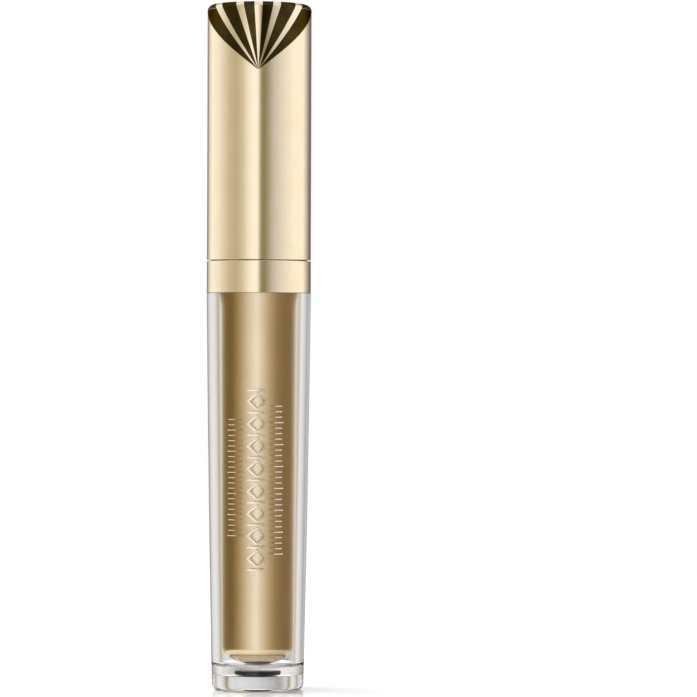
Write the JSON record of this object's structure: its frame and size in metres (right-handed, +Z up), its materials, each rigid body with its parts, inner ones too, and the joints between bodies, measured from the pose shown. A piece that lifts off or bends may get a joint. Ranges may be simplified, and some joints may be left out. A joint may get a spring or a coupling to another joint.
{
  "type": "mascara tube",
  "caption": "Slim round mascara tube: gold screw cap with wand and brush, gold collar, clear tapered bottle around a gold vial.",
  "frame": {"origin": "centre of the foot, on the surface that the closed tube stands on", "axes": "+Z up along the tube's axis, towards the cap; front of the tube towards -Y"},
  "size_m": [0.018, 0.018, 0.1178],
  "materials": {
    "clear_acrylic": "clear polished",
    "gold_lacquer": "metallised gold",
    "gold_metal": "polished gold anodised",
    "black_gloss": "gloss",
    "black_matte": "matte",
    "liner_plastic": "moulded",
    "soft_plastic": "matte",
    "bristle_elastomer": "satin",
    "mascara_paste": "wet",
    "weight_steel": "zinc plated"
  },
  "bodies": {
    "bottle": {"outer_bottle": "clear_acrylic", "vial": "gold_lacquer", "collar": "gold_metal", "wiper": "soft_plastic", "mascara_fill": "mascara_paste", "base_label": "black_matte"},
    "seal": {"neck_seal": "soft_plastic"},
    "weight": {"cap_weight": "weight_steel"},
    "applicator": {"cap_shell": "gold_metal", "cap_liner": "liner_plastic", "screw_insert": "liner_plastic", "stem": "black_gloss", "brush_core": "black_matte", "bristles": "bristle_elastomer"}
  },
  "joints": [
    {"name": "wand_draw", "type": "slide", "parent": "bottle", "child": "seal", "axis": [0, 0, 1], "range_m": [0, 0.08], "deforming": ["bristles"]},
    {"name": "thread_rise", "type": "slide", "parent": "seal", "child": "weight", "axis": [0, 0, 1], "range_m": [0, 0.00251]},
    {"name": "cap_unscrew", "type": "hinge", "parent": "weight", "child": "applicator", "pos_m": [0, 0, 0.08], "axis": [0, 0, 1], "range_deg": [0, 450]}
  ],
  "couplings": [
    {"joint": "thread_rise", "follows": "cap_unscrew", "m_per_rad": 0.00031831}
  ]
}
